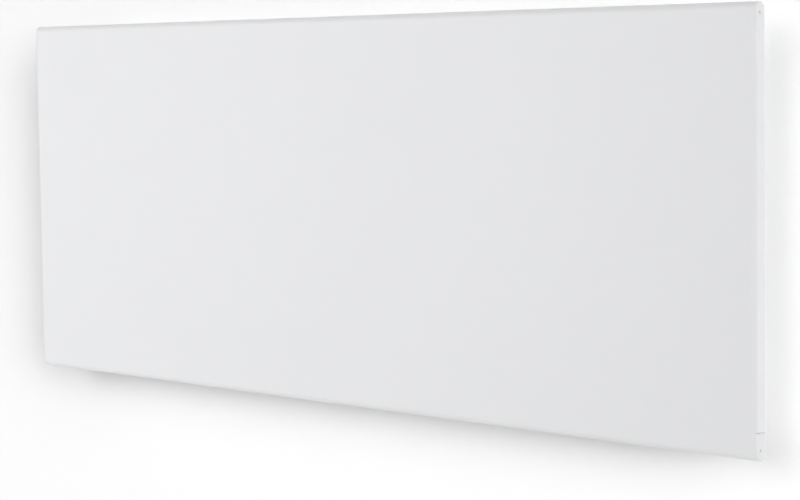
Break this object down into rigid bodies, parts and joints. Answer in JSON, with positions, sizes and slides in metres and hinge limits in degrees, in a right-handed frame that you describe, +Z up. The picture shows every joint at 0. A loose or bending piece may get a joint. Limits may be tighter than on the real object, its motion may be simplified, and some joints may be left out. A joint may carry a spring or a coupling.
{
  "type": "electric panel heater",
  "caption": "Slim wall-hung electric convector panel heater: a smooth white folded front over a vented rear casing that lifts off a steel wall bracket.",
  "frame": {"origin": "middle of the wall bracket's rail, on the wall", "axes": "+X along the heater, to the right seen from the room; +Y into the wall, so the front faces -Y; +Z up"},
  "size_m": [1.05, 0.086, 0.4],
  "materials": {
    "white_enamel": "satin powder coat",
    "white_plastic": "fine grain",
    "grey_plastic": "fine grain",
    "black_plastic": "satin",
    "zinc_steel": "zinc plated",
    "bracket_paint": "powder coat",
    "element_aluminium": "mill finish",
    "bush_ceramic": "unglazed",
    "board_resin": "lacquered",
    "lamp_glass": "clear",
    "rubber": "matt",
    "lead_brown": "sleeve",
    "lead_blue": "sleeve",
    "lead_green": "sleeve",
    "lead_grey": "sleeve"
  },
  "bodies": {
    "wall_bracket": {"bracket_upright_left": "bracket_paint", "bracket_upright_right": "bracket_paint", "bracket_rail": "bracket_paint", "bracket_rivets": "zinc_steel"},
    "heater": {"board_capacitor": "element_aluminium", "board_lamp": "lamp_glass", "board_relay": "black_plastic", "board_screws": "zinc_steel", "cable_gland": "grey_plastic", "cap_bottom_left": "white_plastic", "cap_bottom_right": "white_plastic", "cap_pins": "zinc_steel", "cap_top_left": "white_plastic", "cap_top_right": "white_plastic", "casing_screws": "zinc_steel", "catch_rivets": "zinc_steel", "control_board": "board_resin", "control_fascia": "white_plastic", "control_housing": "white_plastic", "control_screws": "zinc_steel", "cover_screws": "zinc_steel", "earth_lead": "lead_green", "earth_nut": "zinc_steel", "earth_stud": "zinc_steel", "element_bracket_left": "zinc_steel", "element_bracket_right": "zinc_steel", "element_bushes": "bush_ceramic", "element_fins": "element_aluminium", "element_rod": "zinc_steel", "element_screws": "zinc_steel", "front_cover": "white_enamel", "front_heat_shield": "element_aluminium", "gland_nut": "grey_plastic", "grille_screws": "zinc_steel", "lead_clips": "white_plastic", "light_guide": "lamp_glass", "live_lead": "lead_brown", "neutral_lead": "lead_blue", "outlet_grille": "white_enamel", "potentiometer": "grey_plastic", "rear_casing": "white_enamel", "rear_heat_shield": "element_aluminium", "return_lead": "lead_blue", "rocker_frame": "grey_plastic", "room_sensor": "white_plastic", "sensor_lead": "lead_grey", "shield_rivets": "zinc_steel", "side_plate_left": "white_enamel", "side_plate_right": "white_enamel", "switched_lead": "lead_brown", "terminal_block": "white_plastic", "terminal_screws": "zinc_steel", "thermal_cutout": "black_plastic", "wall_buffers": "rubber"},
    "dial": {"thermostat_dial": "white_plastic", "dial_shaft": "zinc_steel"},
    "rocker": {"power_rocker": "black_plastic"},
    "catch_left": {"catch_left": "grey_plastic"},
    "catch_right": {"catch_right": "grey_plastic"}
  },
  "joints": [
    {"name": "heater_lift", "type": "slide", "parent": "wall_bracket", "child": "heater", "axis": [0, 0, 1], "range_m": [0, 0.009]},
    {"name": "dial_turn", "type": "hinge", "parent": "heater", "child": "dial", "pos_m": [0.404, -0.046, 0.19], "axis": [0, 0, 1], "range_deg": [-135, 135]},
    {"name": "rocker_tip", "type": "hinge", "parent": "heater", "child": "rocker", "pos_m": [0.436, -0.046, 0.1855], "axis": [1, 0, 0], "range_deg": [0, 16]},
    {"name": "catch_left_slide", "type": "slide", "parent": "heater", "child": "catch_left", "axis": [1, 0, 0], "range_m": [0, 0.013]},
    {"name": "catch_right_slide", "type": "slide", "parent": "heater", "child": "catch_right", "axis": [-1, 0, 0], "range_m": [0, 0.013]}
  ]
}
